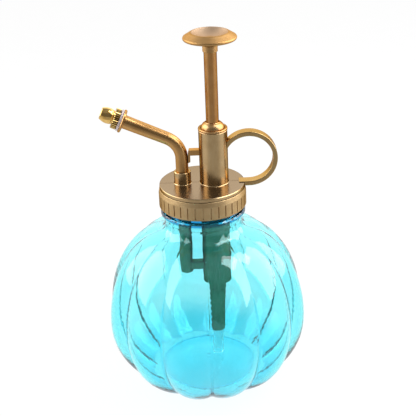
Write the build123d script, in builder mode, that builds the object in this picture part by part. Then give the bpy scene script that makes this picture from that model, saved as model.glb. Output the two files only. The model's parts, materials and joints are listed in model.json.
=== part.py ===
"""Hand mister: a lobed clear bottle under a screw-on hand pump with a bent spray spout.

Millimetres. The origin is on the bottle's axis at the plane that it stands on, +Z is up, the
spout points to -X and the finger ring to +X. The pump's own axis is parallel to Z, off centre.
"""

import os
from math import asin, cos, pi, sin, tan, radians

from build123d import *

os.makedirs("parts", exist_ok=True)

# ---------------------------------------------------------------- driving dimensions
# Bottle
lobe_count = 12
lobe_turn = 1.5  # degrees that the lobes are turned about Z
wall = 1.8
foot_radius = 31.8  # over the lobe crests, at the standing plane
belly_radius = 50.2
belly_height = 34.0
shoulder_radius = 16.6  # where the shoulder's quarter ellipse would close
shoulder_height = 82.1
shoulder_end = radians(78.5)  # ellipse angle where the shoulder turns up into the neck
foot_groove = 0.085  # groove depths, as shares of the crest radius
belly_groove = 0.06
neck_groove = 0.02
groove_round = 1.2
push_up_radius = 24.5
push_up_step = 0.8
push_up_height = 4.6
gate_radius = 2.2  # ring that the mould's gate leaves under the bottle
gate_width = 0.5
gate_proud = 0.3
neck_radius = 18.7
neck_bore = 16.6
neck_top = 100.0
bead_radius = 20.8
bead_low = 91.1
bead_high = 92.7
bead_slope = 0.6
mouth_edge = 0.4

# Screw thread between the bottle's neck and the collar
thread_pitch = 2.5
thread_start = 95.3
thread_turns = 1.5
thread_root_width = 1.3
thread_crest_width = 0.7
thread_height = 0.9
thread_sink = 0.3  # how far a ridge's root is sunk into its wall

# Screw collar
collar_low = 94.8
collar_top = 104.0
collar_radius = 21.35
collar_top_radius = 20.95
collar_bore = 20.05
collar_lip_bore = 17.5
collar_lip = 1.1
rib_count = 36
rib_low = 95.7
rib_high = 101.4
rib_gap = 0.55
rib_depth = 0.45
collar_edge = 0.3
collar_top_edge = 0.12

# Pump head: the plate, the upper pump cylinder and the spout's socket
plate_low = 104.2
plate_high = 106.0
plate_radius = 20.75
hub_radius = 17.2
hub_low = 102.8
pump_x = 6.0
cylinder_radius = 6.95
cylinder_top = 133.1
cylinder_edge = 0.25
pump_bore = 5.6
spigot_radius = 6.25
spigot_top = 108.0
spout_x = -9.35
socket_radius = 4.1
socket_top = 112.3
riser_spigot_radius = 2.9
riser_spigot_top = 106.4
plate_edge = 0.4
plate_chamfer = 0.12
foot_fillet = 0.5  # round the feet of the cylinder and the socket
parting_width = 0.22  # of the mould's parting line across the plate
parting_depth = 0.12
socket_edge = 0.3
sink = 0.5  # how far a boss starts inside what it stands on
fit = 0.03  # radial gap of a push fit

# Spout
spout_radius = 3.05
spout_end_radius = 3.3
spout_bore = 1.7
spout_low = 107.4
spout_corner_z = 126.3
spout_bend = 11.5
spout_rise = 24.8  # degrees above level
spout_reach = 29.9  # from the corner to the flange's middle

# Nozzle, with heights measured along the spout from the flange's middle
flange_radius = 5.7
flange_half = 0.6
nipple_radius = 2.6
nipple_end = 5.4
nozzle_edge = 0.3
swirl_length = 2.2
swirl_slots = 3
swirl_slot_depth = 0.45
swirl_slot_width = 0.5
washer_radius = 5.3
washer_bore = 3.1
washer_end = 1.85
washer_round = 0.25
face_gap = 0.02  # between faces that press on each other
nozzle_start = 1.9
knurl_end = 4.6
knurl_radius = 5.05
knurl_count = 30
knurl_cut = 0.36
knurl_edge = 0.35
nozzle_neck_radius = 3.35
nozzle_neck_length = 0.5
nozzle_collar_radius = 3.6
nozzle_belly_start = 5.4
nozzle_belly_radius = 3.85
nozzle_cone_start = 9.6
nozzle_cone_radius = 3.4
nozzle_lip_radius = 2.95
nozzle_lip = 0.2
nozzle_end = 10.9
nozzle_bore_gap = 0.08
orifice_radius = 0.4
orifice_mouth_radius = 1.5
orifice_mouth_depth = 0.9
orifice_length = 1.7
swirl_chamber_radius = 1.6
swirl_chamber_low = 6.8
swirl_chamber_gap = 0.25

# Finger ring and brace
ring_x = 22.9
ring_z = 118.05
ring_inner = 11.65
ring_outer = 13.85
ring_width = 5.5
ring_round = 0.35
ring_open = 5.0  # height over its middle where the ring meets the cylinder
ring_foot = 5.0  # how far its straight foot runs back over the plate
brace_low = 120.5
brace_high = 123.2
brace_width = 3.2
brace_tab_low = 116.6
brace_tab = 1.1
brace_edge = 0.6

# Pump works inside the bottle
seat_gap = 0.05  # between a seat and the end of what stands in it
gasket_radius = 18.4
gasket_bore = 15.4
flange_low = 101.2  # the barrel's flange, held under the head's hub
works_flange_radius = 18.4
barrel_radius = 7.1
barrel_low = 52.5
barrel_floor = 2.0
riser_radius = 3.15
riser_low = 57.0
riser_bore = 2.2
riser_seat = 66.0
link_z = 61.0
link_width = 5.0
link_height = 5.8
link_round = 1.2
link_bore = 1.5
tail_top_radius = 4.3
tail_radius = 4.0
tail_end_radius = 3.65
tail_step = 47.5
tail_low = 22.9
tail_spigot = 3.0
tail_bore = 2.2
tail_slope = 0.4
dip_radius = 2.8
dip_bore = 2.0
dip_low = 8.9
dip_top = 36.4
inlet_seat = 38.0
inlet_ball_radius = 2.0
inlet_hole = 1.3
inlet_chamber_radius = 2.6
inlet_chamber_top = 44.6
outlet_ball_radius = 1.6
outlet_hole = 1.1
ball_lift = 1.5
ball_gap = 0.05
stop_thickness = 1.0
stop_holes = 3
stop_hole_share = 0.26  # radius and distance of a stop's holes, as shares of its radius
stop_hole_reach = 0.55

# Plunger
rod_radius = 3.05
rod_low = 116.1
rod_top = 176.0
piston_low = 113.0
piston_high = 120.0
piston_radius = 5.4
piston_edge = 0.4
seal_low = 115.4
seal_high = 117.6
seal_root = 4.4
seal_radius = 5.55
seal_round = 0.5
seal_gap = 0.05
rod_chamfer = 0.3
gland_low = 130.0
gland_radius = 7.05
gland_edge = 0.2
gland_side_top = 133.7
gland_shoulder_radius = 6.6
gland_shoulder_top = 134.15
gland_shoulder_round = 0.45
gland_step_radius = 5.9
gland_foot_radius = 5.65  # of the dome inside the shoulder
gland_foot_z = 133.9
gland_dome_radius = 5.0
gland_dome_z = 135.7
gland_lip_radius = 3.6
gland_lip_z = 136.8
gland_top = 137.0
gland_gap = 0.1
gland_mouth = 0.25
gland_seal_low = 127.4
gland_seal_gap = 0.04
knob_low = 171.0
knob_high = 180.3
knob_radius = 12.5
stem_radius = 3.55  # the knob's hub, over the rod
stem_band_top = 173.9
stem_neck = 3.35
stem_top = 174.6
stem_edge = 0.3
flare_radius = 7.2
flare_z = 175.55
skirt_radius = 11.5
skirt_z = 176.7
rim_z = 177.75
rim_top_radius = 12.2
rim_top_z = 178.25
slope_radius = 9.3
slope_z = 180.05
crown_radius = 8.8
crown_z = 180.26
dish_radius = 8.3
dish_depth = 2.7
spring_wire = 0.45
spring_radius = 4.4
spring_turns = 14
spring_gap = 0.05

pump_origin = Vector(pump_x, 0, 0)
riser_origin = Vector(spout_x, 0, 0)


def level(height, origin=Vector(0, 0, 0)):
    """The horizontal plane at a height, with its middle on an upright axis."""
    return Plane(origin=(origin.X, origin.Y, height), x_dir=(1, 0, 0), z_dir=(0, 0, 1))


def upright(origin=Vector(0, 0, 0)):
    """The plane whose X runs out from an upright axis and whose Y is height."""
    return Plane(origin=(origin.X, origin.Y, 0), x_dir=(1, 0, 0), z_dir=(0, -1, 0))


def shallow_cap(radius, edge_height, middle_height):
    """The arc of a shallow spherical cap, from its rim to the axis, on an upright plane."""
    rise = middle_height - edge_height
    sphere = (radius**2 + rise**2) / (2 * rise)
    half_turn = asin(radius / abs(sphere)) / 2
    between = (abs(sphere) * sin(half_turn), middle_height - sphere * (1 - cos(half_turn)))
    return ThreePointArc((radius, edge_height), between, (0, middle_height))


def save(piece, name):
    """Labels a finished sub-part and writes its STEP file."""
    piece.part.label = name
    export_step(piece.part, f"parts/{name}.step")


# ---------------------------------------------------------------- bottle
lower_arc = ((belly_radius - foot_radius) ** 2 + belly_height**2) / (2 * (belly_radius - foot_radius))
ellipse_across = belly_radius - shoulder_radius
ellipse_up = shoulder_height - belly_height


def shoulder_point(angle):
    """Radius, height and outward normal on the shoulder's ellipse."""
    normal = Vector(cos(angle) / ellipse_across, sin(angle) / ellipse_up).normalized()
    radius = shoulder_radius + ellipse_across * cos(angle)
    return radius, belly_height + ellipse_up * sin(angle), normal


def bottle_stations(inset):
    """Crest radius and height of each cross-section of the bottle, moved in by a wall thickness."""
    stations = []
    arc = lower_arc - inset
    start = asin((belly_height - inset) / arc)
    for step in range(6):
        angle = start * (step / 6 - 1)
        stations.append((belly_radius - lower_arc + arc * cos(angle), belly_height + arc * sin(angle)))
    for step in range(9):
        radius, height, normal = shoulder_point(shoulder_end * step / 8)
        stations.append((radius - inset * normal.X, height - inset * normal.Y))
    end_radius, end_height, end_normal = shoulder_point(shoulder_end)
    flare = (end_radius - neck_radius) / (1 - end_normal.X)
    middle = Vector(end_radius, end_height) + end_normal * flare
    turn = asin(end_normal.Y)
    for step in (2, 1, 0):
        angle = turn * step / 3
        reach = flare + inset
        stations.append((middle.X - reach * cos(angle), middle.Y - reach * sin(angle)))
    return stations


def groove_share(height):
    """Groove depth as a share of the crest radius: deep at the foot, fading towards the neck."""
    if height < belly_height:
        return foot_groove + (belly_groove - foot_groove) * height / belly_height
    rise = (height - belly_height) / (shoulder_height - belly_height)
    return belly_groove + (neck_groove - belly_groove) * min(rise, 1) ** 2


def lobed_solid(inset):
    """A loft through the bottle's lobed cross-sections, a convex arc for each lobe."""
    half = pi / lobe_count
    with BuildPart() as solid:
        for crest, height in bottle_stations(inset):
            groove = crest * (1 - groove_share(height))
            with BuildSketch(level(height)):
                with BuildLine():
                    for lobe in range(lobe_count):
                        middle = radians(lobe_turn) + half * (2 * lobe + 1)
                        ThreePointArc(
                            (groove * cos(middle - half), groove * sin(middle - half)),
                            (crest * cos(middle), crest * sin(middle)),
                            (groove * cos(middle + half), groove * sin(middle + half)),
                        )
                make_face()
                fillet(vertices(), groove_round)
        loft()
    return solid.part


def thread_ridge(radius, outward, start, turns):
    """A helical ridge of trapezium section that stands out of, or into, a wall of this radius."""
    side = 1 if outward else -1
    with BuildPart() as ridge:
        with BuildLine():
            path = Helix(thread_pitch, thread_pitch * turns, radius, center=(0, 0, start))
        with BuildSketch(Plane(origin=path @ 0, x_dir=(1, 0, 0), z_dir=path % 0)):
            with BuildLine():
                Polyline(
                    (-side * thread_sink, -thread_root_width / 2),
                    (side * thread_height, -thread_crest_width / 2),
                    (side * thread_height, thread_crest_width / 2),
                    (-side * thread_sink, thread_root_width / 2),
                    close=True,
                )
            make_face()
        sweep(path=path, is_frenet=True)
    return ridge.part


outer_skin = lobed_solid(0)
inner_skin = lobed_solid(wall)
neck_foot = bottle_stations(0)[-1][1]
neck_thread = thread_ridge(neck_radius, True, thread_start, thread_turns)

with BuildPart() as bottle:
    add(outer_skin)
    with BuildSketch(upright()):
        with BuildLine():
            Polyline(
                (neck_bore - wall, neck_foot - sink),
                (neck_radius, neck_foot - sink),
                (neck_radius, bead_low - bead_slope),
                (bead_radius, bead_low),
                (bead_radius, bead_high - bead_slope),
                (bead_radius - bead_slope, bead_high),
                (neck_radius, bead_high),
                (neck_radius, neck_top - mouth_edge),
                (neck_radius - mouth_edge, neck_top),
                (neck_bore - wall, neck_top),
                close=True,
            )
        make_face()
    revolve(axis=Axis.Z)
    add(inner_skin, mode=Mode.SUBTRACT)
    with BuildSketch(level(neck_foot - 2 * wall)):
        Circle(neck_bore)
    extrude(amount=neck_top - neck_foot + 2 * wall, mode=Mode.SUBTRACT)
    with BuildSketch(upright()):
        with BuildLine():
            crown = shallow_cap(push_up_radius + wall, wall, wall + push_up_height)
            Polyline(crown @ 1, (0, push_up_step), (push_up_radius + wall, push_up_step), crown @ 0)
        make_face()
    revolve(axis=Axis.Z)
    with BuildSketch(upright()):
        with BuildLine():
            vault = shallow_cap(push_up_radius, push_up_step, push_up_height)
            Polyline(vault @ 1, (0, 0), (push_up_radius, 0), vault @ 0)
        make_face()
    revolve(axis=Axis.Z, mode=Mode.SUBTRACT)
    with BuildSketch(level(push_up_height - gate_proud)):
        Circle(gate_radius)
        Circle(gate_radius - gate_width, mode=Mode.SUBTRACT)
    extrude(amount=2 * gate_proud)
    add(neck_thread)
save(bottle, "bottle")

# ---------------------------------------------------------------- screw collar
collar_thread = thread_ridge(
    collar_bore, False, thread_start + thread_pitch / 2, thread_turns - 0.5
)

with BuildPart() as screw_collar:
    with BuildSketch(upright()):
        with BuildLine():
            Polyline(
                (collar_bore, collar_low),
                (collar_radius - collar_edge, collar_low),
                (collar_radius, collar_low + collar_edge),
                (collar_radius, rib_high + collar_edge),
                (collar_top_radius, collar_top - collar_top_edge),
                (collar_top_radius - collar_top_edge, collar_top),
                (collar_lip_bore, collar_top),
                (collar_lip_bore, collar_top - collar_lip),
                (collar_bore, collar_top - collar_lip),
                close=True,
            )
        make_face()
    revolve(axis=Axis.Z)
    with BuildSketch(level(rib_low)):
        with PolarLocations(collar_radius, rib_count):
            Rectangle(2 * rib_depth, rib_gap)
    extrude(amount=rib_high - rib_low, mode=Mode.SUBTRACT)
    add(collar_thread)
save(screw_collar, "screw_collar")

# ---------------------------------------------------------------- pump head
with BuildPart() as pump_head:
    with BuildSketch(upright()):
        with BuildLine():
            Polyline(
                (0, hub_low),
                (hub_radius, hub_low),
                (hub_radius, plate_low),
                (plate_radius - plate_chamfer, plate_low),
                (plate_radius, plate_low + plate_chamfer),
                (plate_radius, plate_high - plate_edge),
            )
            edge = RadiusArc(
                (plate_radius, plate_high - plate_edge),
                (plate_radius - plate_edge, plate_high),
                -plate_edge,
            )
            Polyline(edge @ 1, (0, plate_high), (0, hub_low))
        make_face()
    revolve(axis=Axis.Z)
    with BuildSketch(level(plate_high - sink, pump_origin)):
        Circle(cylinder_radius)
    extrude(amount=cylinder_top - plate_high + sink)
    with BuildSketch(level(plate_high - sink, riser_origin)):
        Circle(socket_radius)
    extrude(amount=socket_top - plate_high + sink)
    plate_top = edges().filter_by(GeomType.CIRCLE).filter_by(
        lambda ring: abs(ring.center().Z - plate_high) < 0.01 and ring.radius < hub_radius
    )
    fillet(plate_top, foot_fillet)
    with BuildSketch(level(hub_low, pump_origin)):
        Circle(pump_bore)
    extrude(amount=cylinder_top - hub_low, mode=Mode.SUBTRACT)
    with BuildSketch(level(hub_low, pump_origin)):
        Circle(spigot_radius + fit)
    extrude(amount=spigot_top - hub_low, mode=Mode.SUBTRACT)
    with BuildSketch(level(hub_low, riser_origin)):
        Circle(riser_spigot_radius + fit)
    extrude(amount=riser_spigot_top - hub_low, mode=Mode.SUBTRACT)
    with BuildSketch(level(hub_low, riser_origin)):
        Circle(riser_bore)
    extrude(amount=spout_low - hub_low, mode=Mode.SUBTRACT)
    with BuildSketch(level(spout_low, riser_origin)):
        Circle(spout_radius + fit)
    extrude(amount=socket_top - spout_low, mode=Mode.SUBTRACT)
    socket_rim = edges().filter_by(GeomType.CIRCLE).filter_by(
        lambda ring: abs(ring.center().Z - socket_top) < 0.01 and ring.radius > spout_radius + fit + 0.1
    )
    chamfer(socket_rim, socket_edge)
    cylinder_rim = edges().filter_by(GeomType.CIRCLE).filter_by(
        lambda ring: abs(ring.center().Z - cylinder_top) < 0.01 and ring.radius > pump_bore + 0.1
    )
    chamfer(cylinder_rim, cylinder_edge)
    parting_ends = [
        (-plate_radius, spout_x - socket_radius - foot_fillet),
        (spout_x + socket_radius + foot_fillet, pump_x - cylinder_radius - foot_fillet),
        (pump_x + cylinder_radius + foot_fillet, plate_radius),
    ]
    for parting_start, parting_end in parting_ends:
        with BuildSketch(level(plate_high, Vector((parting_start + parting_end) / 2, 0, 0))):
            Rectangle(parting_end - parting_start, parting_width)
        extrude(amount=-parting_depth, mode=Mode.SUBTRACT)
save(pump_head, "pump_head")

# ---------------------------------------------------------------- spout
spout_aim = Vector(-cos(radians(spout_rise)), 0, sin(radians(spout_rise)))
spout_corner = Vector(spout_x, 0, spout_corner_z)
flange_middle = spout_corner + spout_aim * spout_reach
bend_run = spout_bend * tan(radians(90 - spout_rise) / 2)
bend_end = spout_corner + spout_aim * bend_run


def along_spout(distance):
    """The plane across the spout at a distance from the flange's middle, facing outwards."""
    return Plane(origin=flange_middle + spout_aim * distance, x_dir=(0, 1, 0), z_dir=spout_aim)


def spout_profile():
    """The plane whose Y runs along the spout from the flange's middle and whose X is radius."""
    return Plane(origin=flange_middle, x_dir=(0, 1, 0), z_dir=Vector(0, 1, 0).cross(spout_aim))


spout_axis = Axis(flange_middle, spout_aim)

with BuildPart() as spout_tube:
    with BuildLine():
        spout_path = FilletPolyline(
            (spout_x, 0, spout_low), spout_corner, bend_end + spout_aim * sink, radius=spout_bend
        )
    with BuildSketch(level(spout_low, riser_origin)):
        Circle(spout_radius)
    sweep(path=spout_path)
    with BuildSketch(along_spout(bend_run + sink - spout_reach)):
        Circle(spout_radius)
    with BuildSketch(along_spout(-flange_half)):
        Circle(spout_end_radius)
    loft()
    with BuildSketch(spout_profile()):
        with BuildLine():
            Polyline(
                (0, -flange_half - sink),
                (spout_end_radius, -flange_half - sink),
                (spout_end_radius, -flange_half),
                (flange_radius - nozzle_edge, -flange_half),
                (flange_radius, -flange_half + nozzle_edge),
                (flange_radius, flange_half - nozzle_edge),
                (flange_radius - nozzle_edge, flange_half),
                (nipple_radius, flange_half),
                (nipple_radius, nipple_end - nozzle_edge),
                (nipple_radius - nozzle_edge, nipple_end),
                (0, nipple_end),
                close=True,
            )
        make_face()
    revolve(axis=spout_axis)
    with BuildLine():
        bore_path = FilletPolyline(
            (spout_x, 0, spout_low - sink),
            spout_corner,
            flange_middle + spout_aim * (nipple_end + sink),
            radius=spout_bend,
        )
    with BuildSketch(level(spout_low - sink, riser_origin)):
        Circle(spout_bore)
    sweep(path=bore_path, mode=Mode.SUBTRACT)
save(spout_tube, "spout_tube")

with BuildPart() as swirl_core:
    with BuildSketch(along_spout(nipple_end - swirl_length)):
        Circle(spout_bore - fit)
        with PolarLocations(spout_bore, swirl_slots):
            Rectangle(2 * swirl_slot_depth, swirl_slot_width, mode=Mode.SUBTRACT)
    extrude(amount=swirl_length)
save(swirl_core, "swirl_core")

# ---------------------------------------------------------------- nozzle
with BuildPart() as nozzle_washer:
    with BuildSketch(along_spout(flange_half + face_gap)):
        Circle(washer_radius)
        Circle(washer_bore, mode=Mode.SUBTRACT)
    extrude(amount=washer_end - flange_half - face_gap)
    washer_rims = edges().filter_by(GeomType.CIRCLE).filter_by(lambda ring: ring.radius > washer_bore)
    fillet(washer_rims, washer_round)
save(nozzle_washer, "nozzle_washer")

with BuildPart() as nozzle_nut:
    with BuildSketch(spout_profile()):
        with BuildLine():
            band = Polyline(
                (nipple_radius + nozzle_bore_gap, nozzle_start),
                (knurl_radius - knurl_edge, nozzle_start),
                (knurl_radius, nozzle_start + knurl_edge),
                (knurl_radius, knurl_end - knurl_edge),
                (knurl_radius - knurl_edge, knurl_end),
                (nozzle_neck_radius, knurl_end),
                (nozzle_neck_radius, knurl_end + nozzle_neck_length),
                (nozzle_collar_radius, nozzle_belly_start),
            )
            belly = ThreePointArc(
                band @ 1,
                (nozzle_belly_radius, (nozzle_belly_start + nozzle_cone_start) / 2),
                (nozzle_cone_radius, nozzle_cone_start),
            )
            Polyline(
                belly @ 1,
                (nozzle_lip_radius, nozzle_end - nozzle_lip),
                (nozzle_lip_radius - nozzle_lip, nozzle_end),
                (orifice_mouth_radius, nozzle_end),
                (orifice_radius, nozzle_end - orifice_mouth_depth),
                (orifice_radius, nozzle_end - orifice_mouth_depth - orifice_length),
                (swirl_chamber_radius, swirl_chamber_low),
                (nipple_radius + nozzle_bore_gap, nipple_end + 2 * swirl_chamber_gap),
                band @ 0,
            )
        make_face()
    revolve(axis=spout_axis)
    with BuildSketch(along_spout(nozzle_start)):
        with PolarLocations(knurl_radius, knurl_count):
            RegularPolygon(knurl_cut, 4)
    extrude(amount=knurl_end - nozzle_start, mode=Mode.SUBTRACT)
save(nozzle_nut, "nozzle_nut")

# ---------------------------------------------------------------- finger ring and brace
with BuildPart() as finger_ring:
    with BuildSketch(Plane(origin=(ring_x, 0, ring_z), x_dir=(1, 0, 0), z_dir=(0, -1, 0))):
        Circle(ring_outer)
        Circle(ring_inner, mode=Mode.SUBTRACT)
        with Locations((-ring_outer, ring_open)):
            Rectangle(2 * ring_outer, 2 * ring_outer, align=(Align.CENTER, Align.MAX), mode=Mode.SUBTRACT)
        with Locations((0, -ring_outer)):
            Rectangle(ring_foot, ring_outer - ring_inner, align=(Align.MAX, Align.MIN))
    extrude(amount=ring_width / 2, both=True)
    ring_rims = edges().filter_by(GeomType.CIRCLE).filter_by(lambda rim: rim.radius > ring_inner - 0.1)
    fillet(ring_rims, ring_round)
    with BuildSketch(level(plate_low)):
        Circle(plate_radius)
    extrude(amount=plate_high - plate_low, mode=Mode.SUBTRACT)
    with BuildSketch(level(plate_high, pump_origin)):
        Circle(cylinder_radius)
    extrude(amount=cylinder_top - plate_high, mode=Mode.SUBTRACT)
save(finger_ring, "finger_ring")

brace_end = spout_x + spout_radius
with BuildPart() as spout_brace:
    with BuildSketch(upright()):
        with BuildLine():
            Polyline(
                (brace_end, brace_tab_low),
                (brace_end + brace_tab, brace_tab_low + brace_edge),
                (brace_end + brace_tab, brace_low),
                (pump_x, brace_low),
                (pump_x, brace_high),
                (brace_end + brace_edge, brace_high),
                (brace_end, brace_low + brace_edge),
                close=True,
            )
        make_face()
    extrude(amount=brace_width / 2, both=True)
    with BuildSketch(level(brace_low, pump_origin)):
        Circle(cylinder_radius)
    extrude(amount=brace_high - brace_low, mode=Mode.SUBTRACT)
save(spout_brace, "spout_brace")

# ---------------------------------------------------------------- pump works
with BuildPart() as cap_gasket:
    with BuildSketch(level(neck_top + seat_gap)):
        Circle(gasket_radius)
        Circle(gasket_bore, mode=Mode.SUBTRACT)
    extrude(amount=flange_low - neck_top - 2 * seat_gap)
save(cap_gasket, "cap_gasket")

with BuildPart() as pump_barrel:
    with BuildSketch(level(flange_low)):
        Circle(works_flange_radius)
    extrude(amount=hub_low - flange_low)
    with BuildSketch(level(barrel_low, pump_origin)):
        Circle(barrel_radius)
    extrude(amount=flange_low - barrel_low)
    with BuildSketch(level(hub_low - sink, pump_origin)):
        Circle(spigot_radius)
    extrude(amount=spigot_top - hub_low + sink - seat_gap)
    with BuildSketch(level(riser_low, riser_origin)):
        Circle(riser_radius)
    extrude(amount=flange_low - riser_low)
    with BuildSketch(level(hub_low - sink, riser_origin)):
        Circle(riser_spigot_radius)
    extrude(amount=riser_spigot_top - hub_low + sink - seat_gap)
    with BuildSketch(Plane(origin=(spout_x, 0, link_z), x_dir=(0, 1, 0), z_dir=(1, 0, 0))):
        RectangleRounded(link_width, link_height, link_round)
    extrude(amount=pump_x - spout_x)
    with BuildSketch(level(barrel_low + barrel_floor, pump_origin)):
        Circle(pump_bore)
    extrude(amount=spigot_top - barrel_low, mode=Mode.SUBTRACT)
    with BuildSketch(level(barrel_low, pump_origin)):
        Circle(tail_spigot + fit)
    extrude(amount=barrel_floor, mode=Mode.SUBTRACT)
    with BuildSketch(level(riser_seat, riser_origin)):
        Circle(riser_bore)
    extrude(amount=riser_spigot_top - riser_seat, mode=Mode.SUBTRACT)
    with BuildSketch(level(link_z, riser_origin)):
        Circle(outlet_hole)
    extrude(amount=riser_seat - link_z, mode=Mode.SUBTRACT)
    with BuildSketch(Plane(origin=(spout_x, 0, link_z), x_dir=(0, 1, 0), z_dir=(1, 0, 0))):
        Circle(link_bore)
    extrude(amount=pump_x - spout_x, mode=Mode.SUBTRACT)
save(pump_barrel, "pump_barrel")

with BuildPart() as suction_tail:
    with BuildSketch(upright(pump_origin)):
        with BuildLine():
            Polyline(
                (tail_bore, barrel_low + barrel_floor),
                (tail_spigot, barrel_low + barrel_floor),
                (tail_spigot, barrel_low),
                (tail_top_radius, barrel_low),
                (tail_top_radius, tail_step),
                (tail_radius, tail_step - tail_slope),
                (tail_end_radius, tail_low),
                (dip_radius + fit, tail_low),
                (dip_radius + fit, dip_top),
                (inlet_hole, dip_top),
                (inlet_hole, inlet_seat),
                (inlet_chamber_radius, inlet_seat),
                (inlet_chamber_radius, inlet_chamber_top),
                (tail_bore, inlet_chamber_top + tail_slope),
                close=True,
            )
        make_face()
    revolve(axis=Axis(pump_origin, (0, 0, 1)))
save(suction_tail, "suction_tail")


def seated(seat, ball, hole):
    """Height of a ball's middle just clear of the rim of the hole that it closes."""
    return seat + (ball**2 - hole**2) ** 0.5 + ball_gap


def valve_ball(origin, seat, ball, hole):
    """A check-valve ball resting over its seat."""
    with BuildPart(level(seated(seat, ball, hole), origin)) as piece:
        Sphere(ball)
    return piece


def valve_stop(origin, low, radius, name):
    """A pierced disc that limits how far a ball lifts."""
    with BuildPart() as piece:
        with BuildSketch(level(low, origin)):
            Circle(radius)
            with PolarLocations(radius * stop_hole_reach, stop_holes):
                Circle(radius * stop_hole_share, mode=Mode.SUBTRACT)
        extrude(amount=stop_thickness)
    save(piece, name)


save(valve_ball(pump_origin, inlet_seat, inlet_ball_radius, inlet_hole), "inlet_ball")
save(valve_ball(riser_origin, riser_seat, outlet_ball_radius, outlet_hole), "outlet_ball")
inlet_top = seated(inlet_seat, inlet_ball_radius, inlet_hole) + inlet_ball_radius + ball_lift
outlet_top = seated(riser_seat, outlet_ball_radius, outlet_hole) + outlet_ball_radius + ball_lift
valve_stop(pump_origin, inlet_top + ball_gap, inlet_chamber_radius - fit, "inlet_stop")
valve_stop(riser_origin, outlet_top + ball_gap, riser_bore - fit, "outlet_stop")

with BuildPart() as dip_tube:
    with BuildSketch(level(dip_low, pump_origin)):
        Circle(dip_radius)
        Circle(dip_bore, mode=Mode.SUBTRACT)
    extrude(amount=dip_top - dip_low)
save(dip_tube, "dip_tube")

# ---------------------------------------------------------------- gland
with BuildPart() as gland_nut:
    with BuildSketch(upright(pump_origin)):
        with BuildLine():
            side = Polyline(
                (rod_radius + gland_gap, gland_low),
                (pump_bore - fit, gland_low),
                (pump_bore - fit, cylinder_top),
                (gland_radius - gland_edge, cylinder_top),
                (gland_radius, cylinder_top + gland_edge),
                (gland_radius, gland_side_top),
            )
            shoulder = RadiusArc(
                side @ 1, (gland_shoulder_radius, gland_shoulder_top), -gland_shoulder_round
            )
            step = Polyline(
                shoulder @ 1, (gland_step_radius, gland_shoulder_top), (gland_foot_radius, gland_foot_z)
            )
            dome = ThreePointArc(
                step @ 1, (gland_dome_radius, gland_dome_z), (gland_lip_radius, gland_lip_z)
            )
            Polyline(
                dome @ 1,
                (rod_radius + gland_gap + gland_mouth, gland_top),
                (rod_radius + gland_gap, gland_top - gland_mouth),
                side @ 0,
            )
        make_face()
    revolve(axis=Axis(pump_origin, (0, 0, 1)))
save(gland_nut, "gland_nut")

with BuildPart() as gland_seal:
    with BuildSketch(level(gland_seal_low, pump_origin)):
        Circle(pump_bore - fit)
        Circle(rod_radius + gland_seal_gap, mode=Mode.SUBTRACT)
    extrude(amount=gland_low - seat_gap - gland_seal_low)
save(gland_seal, "gland_seal")

# ---------------------------------------------------------------- plunger
with BuildPart() as plunger_rod:
    with BuildSketch(level(rod_low, pump_origin)):
        Circle(rod_radius)
    extrude(amount=rod_top - rod_low)
    chamfer(edges().filter_by(GeomType.CIRCLE), rod_chamfer)
save(plunger_rod, "plunger_rod")

with BuildPart() as piston:
    with BuildSketch(upright(pump_origin)):
        with BuildLine():
            Polyline(
                (0, piston_low),
                (piston_radius - piston_edge, piston_low),
                (piston_radius, piston_low + piston_edge),
                (piston_radius, seal_low),
                (seal_root, seal_low),
                (seal_root, seal_high),
                (piston_radius, seal_high),
                (piston_radius, piston_high - piston_edge),
                (piston_radius - piston_edge, piston_high),
                (rod_radius + fit, piston_high),
                (rod_radius + fit, rod_low),
                (0, rod_low),
                close=True,
            )
        make_face()
    revolve(axis=Axis(pump_origin, (0, 0, 1)))
save(piston, "piston")

with BuildPart() as piston_seal:
    with BuildSketch(level(seal_low + seal_gap, pump_origin)):
        Circle(seal_radius)
        Circle(seal_root + seal_gap, mode=Mode.SUBTRACT)
    extrude(amount=seal_high - seal_low - 2 * seal_gap)
    seal_rims = edges().filter_by(GeomType.CIRCLE).filter_by(lambda ring: ring.radius > piston_radius)
    fillet(seal_rims, seal_round)
save(piston_seal, "piston_seal")

with BuildPart() as knob:
    with BuildSketch(upright(pump_origin)):
        with BuildLine():
            stem = Polyline(
                (0, rod_top),
                (rod_radius + fit, rod_top),
                (rod_radius + fit, knob_low),
                (stem_neck, knob_low),
                (stem_radius, knob_low + stem_edge),
                (stem_radius, stem_band_top),
                (stem_neck, stem_band_top + stem_edge),
                (stem_neck, stem_top),
            )
            flare = ThreePointArc(stem @ 1, (flare_radius, flare_z), (skirt_radius, skirt_z))
            rim = ThreePointArc(flare @ 1, (knob_radius, rim_z), (rim_top_radius, rim_top_z))
            dish = shallow_cap(dish_radius, knob_high, knob_high - dish_depth)
            slope = Line(rim @ 1, (slope_radius, slope_z))
            ThreePointArc(slope @ 1, (crown_radius, crown_z), dish @ 0)
            Line(dish @ 1, stem @ 0)
        make_face()
    revolve(axis=Axis(pump_origin, (0, 0, 1)))
save(knob, "knob")

spring_low = barrel_low + barrel_floor + spring_wire + spring_gap
spring_high = piston_low - spring_wire - spring_gap
with BuildPart() as return_spring:
    with BuildLine():
        coil = Helix(
            (spring_high - spring_low) / spring_turns,
            spring_high - spring_low,
            spring_radius,
            center=(pump_x, 0, spring_low),
        )
    with BuildSketch(Plane(origin=coil @ 0, x_dir=(1, 0, 0), z_dir=coil % 0)):
        Circle(spring_wire)
    sweep(path=coil, is_frenet=True)
save(return_spring, "return_spring")
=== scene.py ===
"""Looks of the hand mister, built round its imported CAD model. Metres, +Z up, spout towards -X."""

import json
from math import cos, pi, radians, sin

import bpy
from mathutils import Matrix, Vector


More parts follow.
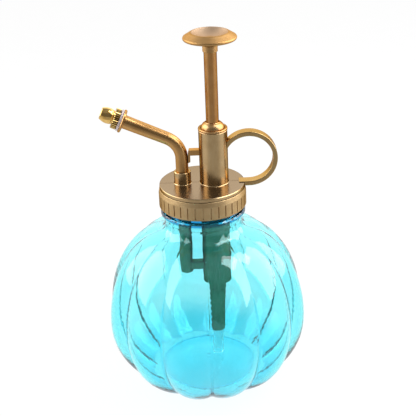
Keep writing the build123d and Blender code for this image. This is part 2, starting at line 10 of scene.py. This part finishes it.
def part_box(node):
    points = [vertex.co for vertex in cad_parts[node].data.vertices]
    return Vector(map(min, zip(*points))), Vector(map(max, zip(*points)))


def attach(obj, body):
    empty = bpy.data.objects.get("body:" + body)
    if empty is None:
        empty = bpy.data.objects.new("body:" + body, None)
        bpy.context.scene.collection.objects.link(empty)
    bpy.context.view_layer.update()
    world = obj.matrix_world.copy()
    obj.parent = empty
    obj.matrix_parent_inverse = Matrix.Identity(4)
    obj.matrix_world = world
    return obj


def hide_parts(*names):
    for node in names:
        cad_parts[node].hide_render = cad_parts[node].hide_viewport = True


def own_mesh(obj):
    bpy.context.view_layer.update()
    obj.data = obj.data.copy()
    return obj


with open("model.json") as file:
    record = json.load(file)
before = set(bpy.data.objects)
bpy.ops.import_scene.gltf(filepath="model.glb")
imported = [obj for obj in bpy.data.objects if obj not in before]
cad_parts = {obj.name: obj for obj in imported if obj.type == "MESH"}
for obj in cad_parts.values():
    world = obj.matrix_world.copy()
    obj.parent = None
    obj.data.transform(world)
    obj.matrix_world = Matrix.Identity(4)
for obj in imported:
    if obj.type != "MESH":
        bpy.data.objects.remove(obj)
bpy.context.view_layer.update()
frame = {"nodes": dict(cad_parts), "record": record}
nodes = frame["nodes"]
joints = {joint["name"]: joint for joint in frame["record"]["behaviour"]["joints"]}

# ---------------------------------------------------------------- camera
CAMERA_PLACE = Vector((0.0, -0.4350, 0.29844))
CAMERA_DOWN = radians(25.416)
CAMERA_ASIDE = radians(0.319)
CAMERA_ROLL = radians(-2.108)
CAMERA_LENS, CAMERA_SENSOR = 84.63, 36  # millimetres
CAMERA_CLIP = 0.01
UPRIGHT = Vector((0, 0, 1))

level = cos(CAMERA_DOWN)
forward = Vector((sin(CAMERA_ASIDE) * level, cos(CAMERA_ASIDE) * level, -sin(CAMERA_DOWN)))
right = forward.cross(UPRIGHT).normalized()
up = right.cross(forward)
rolled_right = cos(CAMERA_ROLL) * right + sin(CAMERA_ROLL) * up
rolled_up = cos(CAMERA_ROLL) * up - sin(CAMERA_ROLL) * right

camera_data = bpy.data.cameras.new("camera")
camera_data.lens = CAMERA_LENS
camera_data.sensor_width = CAMERA_SENSOR
camera_data.clip_start = CAMERA_CLIP
camera = bpy.data.objects.new("camera", camera_data)
camera_axes = Matrix((rolled_right, rolled_up, -forward)).transposed().to_4x4()
camera.matrix_world = Matrix.Translation(CAMERA_PLACE) @ camera_axes
bpy.context.scene.collection.objects.link(camera)
bpy.context.scene.camera = camera


# ---------------------------------------------------------------- node helpers
NOISE_ROUGHNESS, NOISE_MIDDLE = 0.55, 0.5
FEW_LAYERS, LAYERS, MANY_LAYERS = 2.0, 3.0, 4.0  # of finer and finer noise


class Nodes:
    """A material's or a world's node tree, with short ways to add and join nodes."""

    def __init__(self, owner):
        owner.use_nodes = True
        self.tree = owner.node_tree
        self.tree.nodes.clear()

    def add(self, kind, **values):
        node = self.tree.nodes.new(kind)
        for name, value in values.items():
            setattr(node, name, value)
        return node

    def put(self, socket, value):
        """Sets a socket to a number or a colour, or joins it to another socket."""
        if isinstance(value, bpy.types.NodeSocket):
            self.tree.links.new(value, socket)
        else:
            socket.default_value = value

    def put_into(self, kind, value):
        """Adds a node and sets its first input."""
        node = self.add(kind)
        self.put(node.inputs[0], value)
        return node

    def math(self, operation, *values):
        node = self.add("ShaderNodeMath", operation=operation)
        for socket, value in zip(node.inputs, values):
            self.put(socket, value)
        return node.outputs[0]

    def vector(self, operation, *values):
        """A vector calculation's node, whose answer is output 0, or "Value" if it's a number."""
        node = self.add("ShaderNodeVectorMath", operation=operation)
        for socket, value in zip(node.inputs, values):
            self.put(socket, value)
        return node

    def length(self, x, y):
        """Distance from the origin of a point in a plane."""
        squares = self.math("ADD", self.math("MULTIPLY", x, x), self.math("MULTIPLY", y, y))
        return self.math("SQRT", squares)

    def blend(self, share, a, b):
        """A number that goes from a to b as share goes from 0 to 1."""
        rest = self.math("MULTIPLY", self.math("SUBTRACT", 1.0, share), a)
        return self.math("ADD", rest, self.math("MULTIPLY", share, b))

    def mix(self, share, a, b):
        """A colour that goes from a to b as share goes from 0 to 1."""
        node = self.add("ShaderNodeMix", data_type="RGBA")
        self.put(node.inputs[0], share)
        self.put(node.inputs[6], a)
        self.put(node.inputs[7], b)
        return node.outputs[2]

    def place(self):
        """Position on the object in metres, as the CAD places it."""
        return self.add("ShaderNodeTexCoord").outputs["Object"]

    def split(self, vector):
        return self.put_into("ShaderNodeSeparateXYZ", vector).outputs

    def stretched(self, vector, scale):
        return self.vector("MULTIPLY", vector, scale).outputs[0]

    def noise(self, vector, scale, detail=LAYERS):
        node = self.add("ShaderNodeTexNoise")
        self.put(node.inputs["Vector"], vector)
        self.put(node.inputs["Scale"], scale)
        self.put(node.inputs["Detail"], detail)
        self.put(node.inputs["Roughness"], NOISE_ROUGHNESS)
        return node.outputs[0]

    def ramp(self, value, low, high, bottom=0.0, top=1.0):
        """Maps low..high smoothly to bottom..top."""
        node = self.add("ShaderNodeMapRange", interpolation_type="SMOOTHSTEP")
        for socket, number in zip(node.inputs, (value, low, high, bottom, top)):
            self.put(socket, number)
        return node.outputs[0]

    def band(self, value, low_out, low_in, high_in, high_out):
        """1 between the two inner limits, falling smoothly to 0 at the outer ones."""
        rising = self.ramp(value, low_out, low_in)
        return self.math("MULTIPLY", rising, self.ramp(value, high_in, high_out, 1.0, 0.0))

    def bump(self, height, distance, strength, under=None):
        node = self.add("ShaderNodeBump")
        self.put(node.inputs["Strength"], strength)
        self.put(node.inputs["Distance"], distance)
        self.put(node.inputs["Height"], height)
        if under is not None:
            self.put(node.inputs["Normal"], under)
        return node.outputs[0]

    def surface(self, **values):
        """A Principled shader joined to a new output. Returns the shader and the output."""
        shader = self.add("ShaderNodeBsdfPrincipled")
        for name, value in values.items():
            self.put(shader.inputs[name.replace("_", " ")], value)
        output = self.add("ShaderNodeOutputMaterial")
        self.put(output.inputs["Surface"], shader.outputs[0])
        return shader, output


def new_material(name):
    material = bpy.data.materials.new(name)
    return material, Nodes(material)


def give(material, *names):
    """Gives a material to CAD nodes."""
    for name in names:
        slots = nodes[name].data.materials
        slots.clear()
        slots.append(material)


# ---------------------------------------------------------------- materials
# Each pattern has a SCALE in cells per metre, a RANGE of its noise over which it comes in, a
# DEPTH in metres and a RELIEF, the strength of its bumps. Other lengths are metres too.
FINE_DEPTH = 0.00001
EVEN_RANGE = (0.3, 0.7)

LINES_SCALE, LINES_RANGE, LINES_RELIEF = 9000, (0.35, 0.75), 0.06  # brushing on the gold
LINES_STRETCH = (1, 1, 0.02)
LINES_TINT, LINES_SHARE = (1, 0.93, 0.78, 1), 0.1
LINES_ROUGHNESS = 0.08
SPECK_SCALE, SPECK_RANGE, SPECK_RELIEF = 2600, (0.62, 0.8), 0.05
SPECK_SHARE = 0.12
CLOUD_SCALE = 140  # slow changes of shade
SHEEN_GONE, SHEEN_WHOLE = 0.0001, 0.00003  # how far from a level face its painted sheen goes
DISH_FADE = 0.0004  # width of the rim over which the dish's painted reflection comes in
EDGE_DARK = (0.14, 0.08, 0.045, 1)  # tints of metal seen at a grazing angle
EDGE_LIGHT = (0.6, 0.45, 0.32, 1)
DECK_PAINTED_SHEEN = (0.43, 0.345, 0.25, 1)  # the plate's top, painted paler and greyer: a painted sheen standing in for the bright studio it reflects
DISH_PAINTED_REFLECTION = (0.52, 0.37, 0.25, 1)  # the knob's hollow, painted paler: a painted reflection of the bright studio above it


def gold(name, base, shade, roughness, round_x=None, edge=EDGE_DARK, sheen_deck=None, sheen_dish=None):
    """Antique-gold coating, with fine lines along Z, or round the upright axis at round_x.
    sheen_deck is the height of a level face that is painted paler, a painted sheen. sheen_dish is
    the radius of a hollow round that axis that is painted paler, a painted reflection, and the
    height that it lies above."""
    material, n = new_material(name)
    place = n.place()
    if round_x is None:
        lines = n.noise(n.stretched(place, LINES_STRETCH), LINES_SCALE, FEW_LAYERS)
    else:
        x, y, z = n.split(place)
        radius = n.length(n.math("SUBTRACT", x, round_x), y)
        profile = n.add("ShaderNodeCombineXYZ")
        n.put(profile.inputs["X"], radius)
        n.put(profile.inputs["Z"], z)
        lines = n.noise(profile.outputs[0], LINES_SCALE, FEW_LAYERS)
    speck = n.noise(place, SPECK_SCALE, FEW_LAYERS)
    tone = n.mix(n.ramp(n.noise(place, CLOUD_SCALE), *EVEN_RANGE), shade, base)
    bright = n.math("MULTIPLY", n.ramp(lines, *LINES_RANGE), LINES_SHARE)
    tone = n.mix(bright, tone, LINES_TINT)
    tone = n.mix(n.math("MULTIPLY", n.ramp(speck, *SPECK_RANGE), SPECK_SHARE), tone, shade)
    # painted sheen: a level top face is painted paler and greyer, standing in for the bright studio
    # it reflects
    if sheen_deck is not None:
        edges = (sheen_deck - SHEEN_GONE, sheen_deck - SHEEN_WHOLE, sheen_deck + SHEEN_WHOLE, sheen_deck + SHEEN_GONE)
        tone = n.mix(n.band(n.split(place)[2], *edges), tone, DECK_PAINTED_SHEEN)
    # painted reflection: the knob's hollow is painted paler, standing in for the bright light it
    # reflects
    if sheen_dish is not None:
        rim, above = sheen_dish
        inside = n.ramp(radius, rim - DISH_FADE, rim, 1.0, 0.0)
        hollow_reflection = n.math("MULTIPLY", inside, n.ramp(z, above, above + SHEEN_GONE))
        tone = n.mix(hollow_reflection, tone, DISH_PAINTED_REFLECTION)
    above_middle = n.math("SUBTRACT", lines, NOISE_MIDDLE)
    ripple = n.math("MULTIPLY", above_middle, LINES_ROUGHNESS)
    relief = n.bump(lines, FINE_DEPTH, LINES_RELIEF)
    n.surface(
        Base_Color=tone,
        Metallic=1.0,
        Roughness=n.math("ADD", roughness, ripple),
        Specular_Tint=edge,
        Normal=n.bump(speck, FINE_DEPTH, SPECK_RELIEF, relief),
    )
    return material


SWIRL_SCALE, SWIRL_RANGE = 1800, (0.35, 0.7)  # polishing marks on the brass
SWIRL_DEPTH, SWIRL_RELIEF = 0.000006, 0.5
SWIRL_STRETCH = (0.3, 1, 1)
BRASS_SHADE = (0.7, 0.43, 0.12, 1)
BRASS_LIGHT = (0.84, 0.58, 0.22, 1)
# painted shade in the grooves between the knurl's teeth
BRASS_GROOVE_SHADE = (0.12, 0.06, 0.015, 1)
BRASS_ROUGHNESS, BRASS_ROUGH_RANGE = (0.07, 0.2), (0.3, 0.8)
KNURL_ROOT, KNURL_TIP = 0.00468, 0.00505  # the radii of the nozzle's knurled band
KNURL_START, KNURL_END = 0.0019, 0.0047  # how far it lies from the flange, along the axis
KNURL_FADE = 0.0002


def brass():
    """Polished brass, with painted shade between the teeth of the nozzle's knurled band."""
    material, n = new_material("polished_brass")
    place = n.place()
    turn = joints["nozzle_turn"]
    from_flange = n.vector("SUBTRACT", place, turn["pos_m"]).outputs[0]
    along = n.vector("DOT_PRODUCT", from_flange, turn["axis"]).outputs["Value"]
    out = n.vector("CROSS_PRODUCT", from_flange, turn["axis"]).outputs[0]
    radius = n.vector("LENGTH", out).outputs["Value"]
    edges = (KNURL_START - KNURL_FADE, KNURL_START, KNURL_END - KNURL_FADE, KNURL_END)
    # painted shade: darkest at the roots of the knurl's teeth, gone at their tips
    deep = n.ramp(radius, KNURL_ROOT, KNURL_TIP, 1.0, 0.0)
    groove_shade = n.math("MULTIPLY", deep, n.band(along, *edges))
    swirl = n.noise(n.stretched(place, SWIRL_STRETCH), SWIRL_SCALE)
    tone = n.mix(n.ramp(swirl, *SWIRL_RANGE), BRASS_SHADE, BRASS_LIGHT)
    n.surface(
        Base_Color=n.mix(groove_shade, tone, BRASS_GROOVE_SHADE),
        Metallic=1.0,
        Roughness=n.ramp(swirl, *BRASS_ROUGH_RANGE, *BRASS_ROUGHNESS),
        Normal=n.bump(swirl, SWIRL_DEPTH, SWIRL_RELIEF),
    )
    return material


CYAN = (1, 0.96, 1, 1)
CYAN_LIGHT = (1, 0.98, 1, 1)
NAVY = (0.1, 0.32, 0.62, 1)  # the bead round the neck
DEEP_CYAN = (0.24, 0.72, 0.87, 1)  # the thick plastic near the base
DEEP_BLUE = (0.2, 0.62, 0.86, 1)  # the foot's edge
SHADOW_CYAN = (0.4, 0.9, 0.96, 1)  # lamplight that comes through the wall
WALL_CYAN, WALL_DENSITY = (0, 0.985, 0.997, 1), 380.0
NECK_BELOW_MOUTH = 0.008  # from the bottle's mouth down to the bead round its neck
BEAD_BAND = (-0.0035, -0.001, 0.001, 0.003)  # heights from the bead where NAVY comes and goes
BASE_BAND = (0.005, 0.019)  # heights between which DEEP_CYAN fades out
FOOT_BAND = (0.0006, 0.0016)  # and DEEP_BLUE
WAVES_SCALE, WAVES_DEPTH, WAVES_RELIEF = 45, 0.0006, 0.35  # slow waves in the blown wall
WAVES_STRETCH = (1, 1, 0.35)
RIPPLE_SCALE, RIPPLE_DEPTH, RIPPLE_RELIEF = 220, 0.00006, 0.3
SMEAR_SCALE, SMEAR_RANGE = 90, (0.3, 0.8)  # faint smears, slightly rough
SMEAR_ROUGHNESS, SMEAR_ROUGH_RANGE = (0.0, 0.05), (0.45, 0.8)
BOTTLE_IOR = 1.53
BOTTLE_CLEARNESS = 0.99


def tinted_plastic():
    """Clear cyan plastic, tinted by absorption in the wall and a little at its surface. Light
    from the lamps comes through it."""
    material, n = new_material("cyan_plastic")
    place = n.place()
    waves = n.noise(n.stretched(place, WAVES_STRETCH), WAVES_SCALE, FEW_LAYERS)
    ripple = n.noise(place, RIPPLE_SCALE, FEW_LAYERS)
    smear = n.noise(place, SMEAR_SCALE, MANY_LAYERS)
    height = n.split(place)[2]
    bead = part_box("bottle")[1].z - NECK_BELOW_MOUTH
    tint = n.mix(n.ramp(smear, *SMEAR_RANGE), CYAN, CYAN_LIGHT)
    tint = n.mix(n.ramp(height, *BASE_BAND, 1.0, 0.0), tint, DEEP_CYAN)
    tint = n.mix(n.band(height, *(bead + offset for offset in BEAD_BAND)), tint, NAVY)
    tint = n.mix(n.ramp(height, *FOOT_BAND, 1.0, 0.0), tint, DEEP_BLUE)
    relief = n.bump(waves, WAVES_DEPTH, WAVES_RELIEF)
    shader, output = n.surface(
        Base_Color=tint,
        Roughness=n.ramp(smear, *SMEAR_ROUGH_RANGE, *SMEAR_ROUGHNESS),
        IOR=BOTTLE_IOR,
        Transmission_Weight=BOTTLE_CLEARNESS,
        Normal=n.bump(ripple, RIPPLE_DEPTH, RIPPLE_RELIEF, relief),
    )
    through = n.put_into("ShaderNodeBsdfTransparent", SHADOW_CYAN)
    rays = n.add("ShaderNodeLightPath")
    joined = n.add("ShaderNodeMixShader")
    n.put(joined.inputs[0], rays.outputs["Is Shadow Ray"])
    n.put(joined.inputs[1], shader.outputs[0])
    n.put(joined.inputs[2], through.outputs[0])
    n.put(output.inputs["Surface"], joined.outputs[0])
    wall = n.add("ShaderNodeVolumeAbsorption")
    n.put(wall.inputs["Color"], WALL_CYAN)
    n.put(wall.inputs["Density"], WALL_DENSITY)
    n.put(output.inputs["Volume"], wall.outputs[0])
    return material


FLOW_SCALE = 160  # marks where the plastic flowed in its mould
FLOW_STRETCH = (1, 1, 0.3)
GRAIN_SCALE, GRAIN_RELIEF = 3500, 0.4
GRAIN_SMOOTHER, GRAIN_ROUGHER = 0.05, 0.08  # below and above the middle roughness


def plain_plastic(name, light, dark, roughness, transmission=0.0):
    """Natural moulded plastic or rubber, with faint flow marks and a fine surface grain."""
    material, n = new_material(name)
    place = n.place()
    flow = n.noise(n.stretched(place, FLOW_STRETCH), FLOW_SCALE)
    grain = n.noise(place, GRAIN_SCALE, FEW_LAYERS)
    finest, coarsest = roughness - GRAIN_SMOOTHER, roughness + GRAIN_ROUGHER
    n.surface(
        Base_Color=n.mix(n.ramp(flow, *EVEN_RANGE), dark, light),
        Roughness=n.ramp(grain, *EVEN_RANGE, finest, coarsest),
        Transmission_Weight=transmission,
        Normal=n.bump(grain, FINE_DEPTH, GRAIN_RELIEF),
    )
    return material


DRAWN_SCALE = 2500  # marks on the drawn wire and the ground balls
STEEL_SHADE = (0.42, 0.43, 0.44, 1)
STEEL_LIGHT = (0.62, 0.62, 0.63, 1)
STEEL_ROUGHNESS = (0.15, 0.3)


def steel():
    """Bright stainless steel, with fine marks."""
    material, n = new_material("steel")
    drawn = n.noise(n.place(), DRAWN_SCALE)
    tone = n.mix(n.ramp(drawn, *EVEN_RANGE), STEEL_SHADE, STEEL_LIGHT)
    rough = n.ramp(drawn, *EVEN_RANGE, *STEEL_ROUGHNESS)
    n.surface(Base_Color=tone, Metallic=1.0, Roughness=rough)
    return material


WARM_GOLD = (0.53, 0.26, 0.075, 1)
WARM_SHADE = (0.46, 0.21, 0.055, 1)
SPOUT_GOLD = (0.56, 0.31, 0.105, 1)
SPOUT_SHADE = (0.48, 0.25, 0.075, 1)
RING_GOLD = (0.5, 0.33, 0.135, 1)
RING_SHADE = (0.43, 0.27, 0.1, 1)
KNOB_GOLD = (0.48, 0.275, 0.1, 1)
KNOB_SHADE = (0.42, 0.23, 0.075, 1)
PALE_GOLD = (0.6, 0.415, 0.205, 1)
PALE_SHADE = (0.52, 0.345, 0.16, 1)
WORKS_PAINTED_SHADE = (0.05, 0.16, 0.085, 1)  # the works in the bottle, their gold painted dark and green: painted shade and a painted tint of the dim cyan light inside
WORKS_PAINTED_SHADE_DEEP = (0.036, 0.125, 0.065, 1)
WASHER_LIGHT = (0.93, 0.8, 0.78, 1)
WASHER_SHADE = (0.85, 0.72, 0.7, 1)
TUBE_LIGHT = (0.95, 0.96, 0.96, 1)
TUBE_SHADE = (0.9, 0.92, 0.92, 1)
RUBBER_LIGHT = (0.04, 0.04, 0.04, 1)
RUBBER_SHADE = (0.02, 0.02, 0.02, 1)
WHITE_LIGHT = (0.85, 0.85, 0.83, 1)
WHITE_SHADE = (0.75, 0.75, 0.72, 1)

PLATE_ABOVE_HUB = 0.0032  # from the head's lowest face to the top of its plate
DISH_RADIUS = 0.0088  # the hollow in the knob
KNOB_RIM = 0.0026  # from the knob's top down to below its hollow
pump_x = (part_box("plunger_rod")[0].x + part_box("plunger_rod")[1].x) / 2
plate_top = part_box("pump_head")[0].z + PLATE_ABOVE_HUB
sheen_dish = (DISH_RADIUS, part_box("knob")[1].z - KNOB_RIM)

head_gold = gold("gold_head", PALE_GOLD, PALE_SHADE, roughness=0.25, sheen_deck=plate_top)
collar_gold = gold("gold_collar", PALE_GOLD, PALE_SHADE, roughness=0.44)
gland_gold = gold("gold_gland", WARM_GOLD, PALE_SHADE, roughness=0.35, round_x=pump_x)
rod_gold = gold("gold_rod", WARM_GOLD, WARM_SHADE, roughness=0.2)
knob_gold = gold(
    "gold_knob", KNOB_GOLD, KNOB_SHADE, roughness=0.48, round_x=pump_x, edge=EDGE_LIGHT, sheen_dish=sheen_dish
)
spout_gold = gold("gold_spout", SPOUT_GOLD, SPOUT_SHADE, roughness=0.3, edge=EDGE_LIGHT)
ring_gold = gold("gold_ring", RING_GOLD, RING_SHADE, roughness=0.2, edge=EDGE_LIGHT)
# the gold works are painted dark green: painted shade and a painted tint of the cyan light that
# reaches them
works_painted_shade = gold("gold_works_painted_shade", WORKS_PAINTED_SHADE, WORKS_PAINTED_SHADE_DEEP, roughness=0.45)
washer_plastic = plain_plastic(
    "clear_plastic", WASHER_LIGHT, WASHER_SHADE, roughness=0.3, transmission=0.55
)
tube_plastic = plain_plastic(
    "clear_tube", TUBE_LIGHT, TUBE_SHADE, roughness=0.12, transmission=0.94
)
rubber = plain_plastic("seal_rubber", RUBBER_LIGHT, RUBBER_SHADE, roughness=0.6)
white_plastic = plain_plastic("white_plastic", WHITE_LIGHT, WHITE_SHADE, roughness=0.4)
bright_steel = steel()

give(tinted_plastic(), "bottle")
give(head_gold, "pump_head")
give(collar_gold, "screw_collar")
give(gland_gold, "gland_nut")
give(rod_gold, "plunger_rod")
give(knob_gold, "knob")
give(spout_gold, "spout_tube", "spout_brace")
give(ring_gold, "finger_ring")
give(works_painted_shade, "pump_barrel", "suction_tail")
give(brass(), "nozzle_nut", "swirl_core")
give(washer_plastic, "nozzle_washer")
give(tube_plastic, "dip_tube")
give(rubber, "piston_seal", "gland_seal", "cap_gasket")
give(white_plastic, "piston", "inlet_stop", "outlet_stop")
give(bright_steel, "inlet_ball", "outlet_ball")

# ---------------------------------------------------------------- the return spring
SPRING_TURNS = 14
SPRING_WIRE = 0.00045  # radius of its wire
SPRING_STEPS = 36  # rings of points along each turn
SPRING_SIDES = 12  # points round the wire


def coil(name, low, high):
    """A round wire coiled about Z that fills a box."""
    middle = (low + high) / 2
    radius = (high.x - low.x) / 2 - SPRING_WIRE
    bottom = low.z + SPRING_WIRE
    rise = high.z - low.z - 2 * SPRING_WIRE
    count = SPRING_TURNS * SPRING_STEPS
    points, faces = [], []
    for step in range(count + 1):
        angle = 2 * pi * step / SPRING_STEPS
        out = Vector((cos(angle), sin(angle), 0))
        centre = Vector((middle.x, middle.y, bottom + rise * step / count)) + radius * out
        for side in range(SPRING_SIDES):
            turn = 2 * pi * side / SPRING_SIDES
            points.append(centre + SPRING_WIRE * (cos(turn) * out + sin(turn) * UPRIGHT))
    for step in range(count):
        for side in range(SPRING_SIDES):
            a = step * SPRING_SIDES + side
            b = step * SPRING_SIDES + (side + 1) % SPRING_SIDES
            faces.append((a, a + SPRING_SIDES, b + SPRING_SIDES, b))
    faces.append(tuple(range(SPRING_SIDES)))
    faces.append(tuple(reversed(range(count * SPRING_SIDES, (count + 1) * SPRING_SIDES))))
    mesh = bpy.data.meshes.new(name)
    mesh.from_pydata(points, [], faces)
    mesh.shade_smooth()
    piece = bpy.data.objects.new(name, mesh)
    bpy.context.scene.collection.objects.link(piece)
    return piece


spring_low, spring_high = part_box("return_spring")
spring = coil("coil_spring", spring_low, spring_high)
spring.data.materials.append(bright_steel)
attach(spring, "head")
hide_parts("return_spring")
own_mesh(spring)


# ---------------------------------------------------------------- studio
WHITE = (1, 1, 1, 1)
FLOOR_SIZE = 8
PAPER_SCALE, PAPER_RANGE = 40, (0.2, 0.8)
PAPER_SHADE = (0.06, 0.06, 0.06, 1)
PAPER_LIGHT = (0.065, 0.065, 0.065, 1)
PAPER_ROUGHNESS = 0.9
PAPER_GLOW = 0.935


def floor_material():
    """White paper, mostly lit evenly from within, so that only a faint shadow shows."""
    material, n = new_material("floor")
    grain = n.noise(n.place(), PAPER_SCALE, FEW_LAYERS)
    n.surface(
        Base_Color=n.mix(n.ramp(grain, *PAPER_RANGE), PAPER_SHADE, PAPER_LIGHT),
        Roughness=PAPER_ROUGHNESS,
        Specular_IOR_Level=0.0,
        Emission_Color=WHITE,
        Emission_Strength=PAPER_GLOW,
    )
    return material


def panel(name, place, aim, width, height, radiance):
    """A soft box at a place, turned towards a point, that the camera doesn't see."""
    light = bpy.data.lights.new(name, "AREA")
    light.shape = "RECTANGLE"
    light.size = width
    light.size_y = height
    light.energy = radiance * pi * width * height
    lamp = bpy.data.objects.new(name, light)
    lamp.location = place
    lamp.rotation_euler = (Vector(aim) - Vector(place)).to_track_quat("-Z", "Y").to_euler()
    lamp.visible_camera = False
    bpy.context.scene.collection.objects.link(lamp)


bpy.ops.mesh.primitive_plane_add(size=FLOOR_SIZE, location=(0, 0, 0))
floor = bpy.context.object
floor.name = "floor"
floor.data.materials.append(floor_material())
floor.visible_glossy = False

side_box = {"aim": (0, 0, 0.1), "width": 0.62, "height": 0.58}
panel("left_box", place=(-0.5, 0.02, 0.36), radiance=3.3, **side_box)
panel("right_box", place=(0.5, 0.02, 0.36), radiance=3.9, **side_box)
panel(
    "top_box",
    place=(0.25, -0.03, 0.57),
    aim=(-0.05, 0, 0.15),
    width=0.2,
    height=0.26,
    radiance=5.5,
)

# How bright the studio is in reflections. Each BAND is where one brightness gives way to the
# next, as the sine of the turn towards the back, or of the height over the horizon.
LOW_FRONT, LOW_SIDE, LOW_REAR, LOW_BACK = 0.45, 0.78, 0.95, 0.9  # below the horizon
SIDE_BAND, REAR_BAND, BACK_BAND = (-0.97, -0.35), (0.1, 0.6), (0.8, 0.99)
LOW_STEEP, STEEP_BAND = 0.92, (-0.8, -0.5)
HIGH_FRONT, HIGH_BACK, HIGH_BAND = 0.17, 1.7, (-0.2, 0.6)  # above it
OVERHEAD, OVERHEAD_BAND = 0.34, (0.6, 0.9)
HORIZON_BAND = (-0.2, 0.08)


def studio_world():
    """White to the camera. Reflections see bright sides, a dimmer front and a pale band behind."""
    world = bpy.data.worlds.new("studio")
    bpy.context.scene.world = world
    n = Nodes(world)
    x, y, z = n.split(n.add("ShaderNodeTexCoord").outputs["Generated"])
    behind = n.math("DIVIDE", y, n.length(x, y))
    low = n.ramp(behind, *SIDE_BAND, LOW_FRONT, LOW_SIDE)
    low = n.blend(n.ramp(behind, *REAR_BAND), low, LOW_REAR)
    low = n.blend(n.ramp(behind, *BACK_BAND), low, LOW_BACK)
    low = n.blend(n.ramp(z, *STEEP_BAND), LOW_STEEP, low)
    high = n.ramp(behind, *HIGH_BAND, HIGH_FRONT, HIGH_BACK)
    high = n.blend(n.ramp(z, *OVERHEAD_BAND), high, OVERHEAD)
    reflected = n.put_into("ShaderNodeBackground", WHITE)
    n.put(reflected.inputs["Strength"], n.blend(n.ramp(z, *HORIZON_BAND), low, high))
    seen = n.put_into("ShaderNodeBackground", WHITE)
    rays = n.add("ShaderNodeLightPath")
    joined = n.add("ShaderNodeMixShader")
    n.put(joined.inputs[0], rays.outputs["Is Camera Ray"])
    n.put(joined.inputs[1], reflected.outputs[0])
    n.put(joined.inputs[2], seen.outputs[0])
    n.put(n.add("ShaderNodeOutputWorld").inputs[0], joined.outputs[0])


LIGHT_BOUNCES = 20  # enough to pass the bottle's two walls and everything between them

studio_world()
bpy.context.scene.view_settings.view_transform = "Standard"
bpy.context.scene.cycles.max_bounces = LIGHT_BOUNCES
bpy.context.scene.cycles.transmission_bounces = LIGHT_BOUNCES
